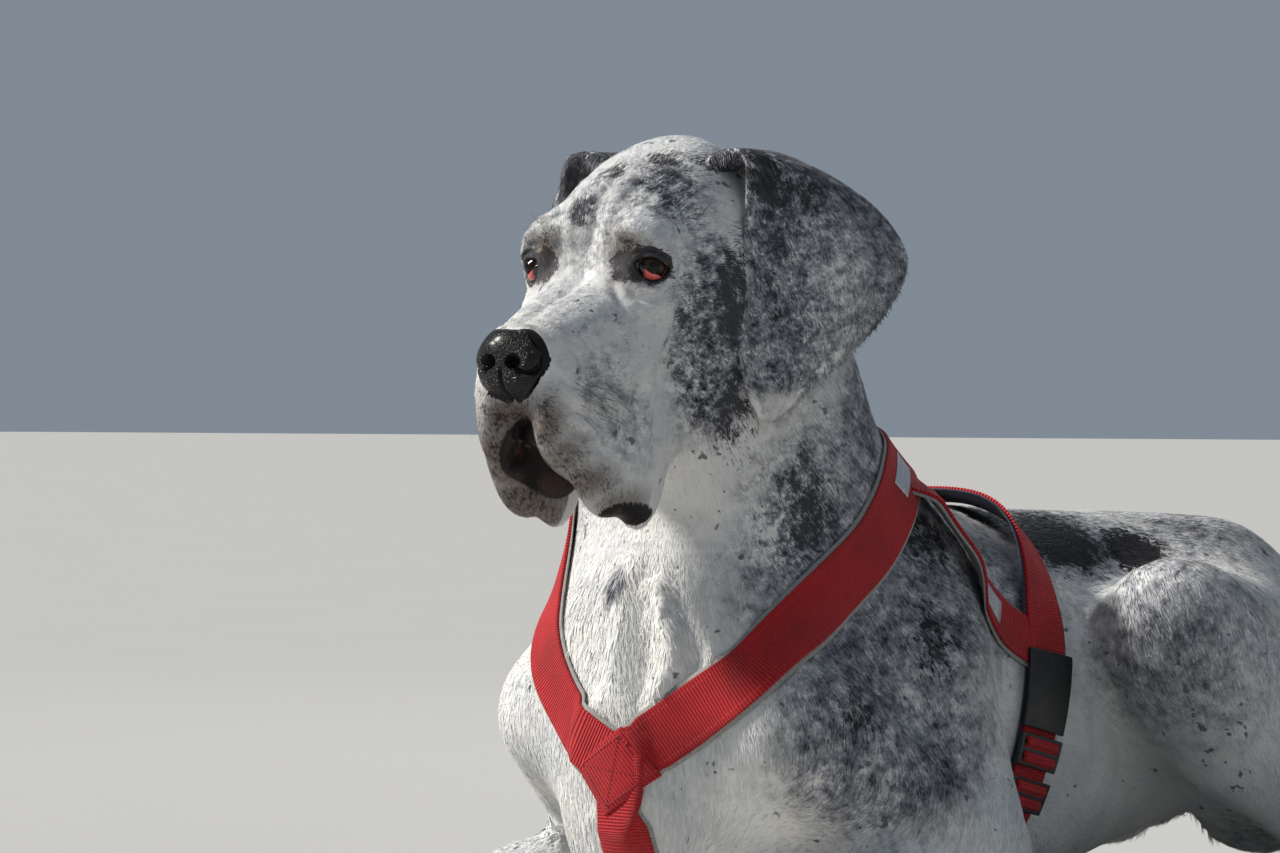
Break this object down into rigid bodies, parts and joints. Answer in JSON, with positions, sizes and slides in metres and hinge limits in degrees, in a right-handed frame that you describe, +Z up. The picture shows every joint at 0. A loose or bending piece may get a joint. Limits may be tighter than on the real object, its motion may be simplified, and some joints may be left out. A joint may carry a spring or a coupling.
{
  "type": "great dane model",
  "caption": "Life-size great dane lying on its breastbone with its head up and its ears hanging, grey-mottled white coat, in a red webbing harness.",
  "frame": {"origin": "on the floor under the middle of the model's bounding box", "axes": "+Z up; the dog lies along Y and faces -Y; +X is its left side"},
  "size_m": [0.5938, 1.2892, 0.6721],
  "materials": {
    "coat": "short flat fur, white with grey and black mottling",
    "ear_coat": "short fur, charcoal flecked with white",
    "nose_leather": "moist black nose leather",
    "eye": "wet, dark brown iris",
    "webbing": "ribbed red webbing with a grey felt lining",
    "padding": "black padded sleeve",
    "slider": "moulded black strap adjuster",
    "ring": "welded wire ring"
  },
  "bodies": {
    "root": {"eye_left": "eye", "eye_right": "eye", "ear_left": "ear_coat", "ear_right": "ear_coat", "nose": "nose_leather", "lower_jaw": "coat", "head": "coat", "upper_arm_left": "coat", "forearm_left": "coat", "thigh_left": "coat", "shank_left": "coat", "hind_pastern_left": "coat", "forepaw_left": "coat", "hind_paw_left": "coat", "upper_arm_right": "coat", "forearm_right": "coat", "thigh_right": "coat", "shank_right": "coat", "hind_pastern_right": "coat", "forepaw_right": "coat", "hind_paw_right": "coat", "neck": "coat", "chest": "coat", "loin": "coat", "hips": "coat", "tail_base": "coat", "tail_middle": "coat", "tail_tip": "coat", "harness_neck_left": "webbing", "harness_girth_left": "webbing", "harness_neck_right": "webbing", "harness_girth_right": "webbing", "harness_sternum": "webbing", "harness_dorsal": "webbing", "harness_side_left": "webbing", "harness_side_right": "webbing", "harness_pad_left": "padding", "harness_slider_upper_left": "slider", "harness_slider_lower_left": "slider", "harness_pad_right": "padding", "harness_slider_upper_right": "slider", "harness_slider_lower_right": "slider", "harness_ring": "ring"}
  },
  "joints": []
}
